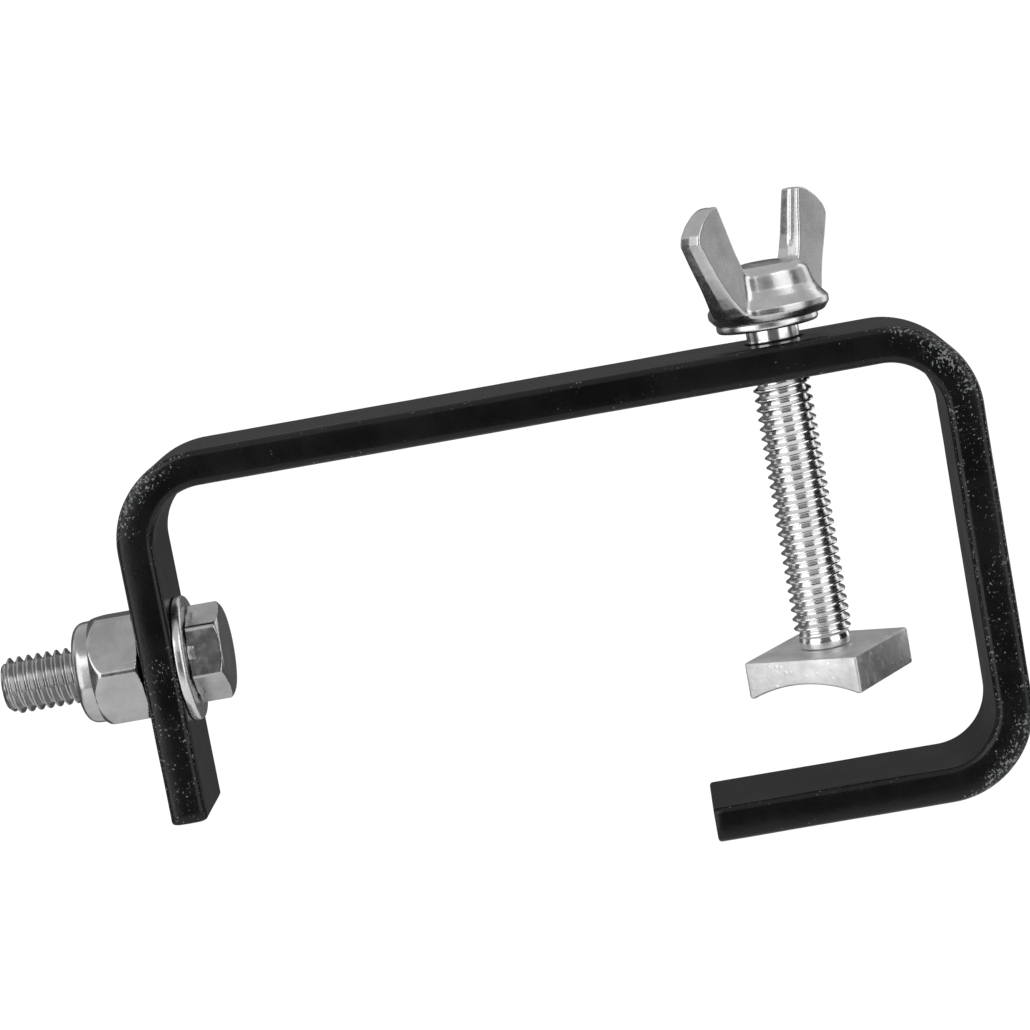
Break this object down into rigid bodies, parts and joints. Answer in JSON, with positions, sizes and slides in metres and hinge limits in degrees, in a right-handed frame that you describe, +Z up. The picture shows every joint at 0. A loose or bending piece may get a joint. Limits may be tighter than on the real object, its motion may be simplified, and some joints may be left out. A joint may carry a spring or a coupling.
{
  "type": "hook pipe clamp",
  "caption": "Flat-bar hook clamp that hangs a stage light from a pipe: a wing screw presses a swivelling saddle onto the pipe, a bolt and lock nut carry the yoke.",
  "frame": {"origin": "on the clamp screw's axis, on the bottom leg's inner face, where the pipe beds at the middle of the bar's width", "axes": "+X along the top bar from the short leg towards the heel, +Z up from the bottom leg to the top bar along the clamp screw, +Y across the bar's width, which is the pipe's direction"},
  "size_m": [0.1652, 0.029, 0.1018],
  "materials": {
    "frame_paint": "gloss black paint, worn and speckled on the bends and edges",
    "bright_zinc": "bright zinc plate",
    "washer_zinc": "bright zinc plate, rolled flat",
    "wing_zinc": "satin plated casting with polished edges",
    "saddle_zinc": "matt grainy zinc plate",
    "nylon": "plain nylon"
  },
  "bodies": {
    "frame": {"hook_frame": "frame_paint", "head_washer": "washer_zinc"},
    "screw_carrier": {"screw_washer": "bright_zinc"},
    "screw": {"clamp_screw": "bright_zinc", "wing_head": "wing_zinc"},
    "saddle": {"pressure_saddle": "saddle_zinc"},
    "bolt": {"yoke_bolt": "bright_zinc"},
    "nut_carrier": {"nylon_ring": "nylon"},
    "nut": {"lock_nut": "bright_zinc"}
  },
  "joints": [
    {"name": "screw_feed", "type": "slide", "parent": "frame", "child": "screw_carrier", "axis": [0, 0, 1], "range_m": [-0.0022, 0.0438]},
    {"name": "screw_turn", "type": "hinge", "parent": "screw_carrier", "child": "screw", "pos_m": [0, 0, 0.0761], "axis": [0, 0, 1], "range_deg": [-500, 9935]},
    {"name": "saddle_swivel", "type": "hinge", "parent": "screw", "child": "saddle", "pos_m": [0, 0, 0.0195], "axis": [0, 0, 1], "continuous": true},
    {"name": "bolt_turn", "type": "hinge", "parent": "frame", "child": "bolt", "pos_m": [-0.1072, 0, 0.038], "axis": [-1, 0, 0], "continuous": true},
    {"name": "nut_feed", "type": "slide", "parent": "bolt", "child": "nut_carrier", "axis": [-1, 0, 0], "range_m": [0, 0.021]},
    {"name": "nut_turn", "type": "hinge", "parent": "nut_carrier", "child": "nut", "pos_m": [-0.116, 0, 0.038], "axis": [-1, 0, 0], "range_deg": [0, 4765]}
  ],
  "couplings": [
    {"joint": "screw_turn", "follows": "screw_feed", "rad_per_m": 3957.9},
    {"joint": "nut_turn", "follows": "nut_feed", "rad_per_m": 3957.9}
  ]
}
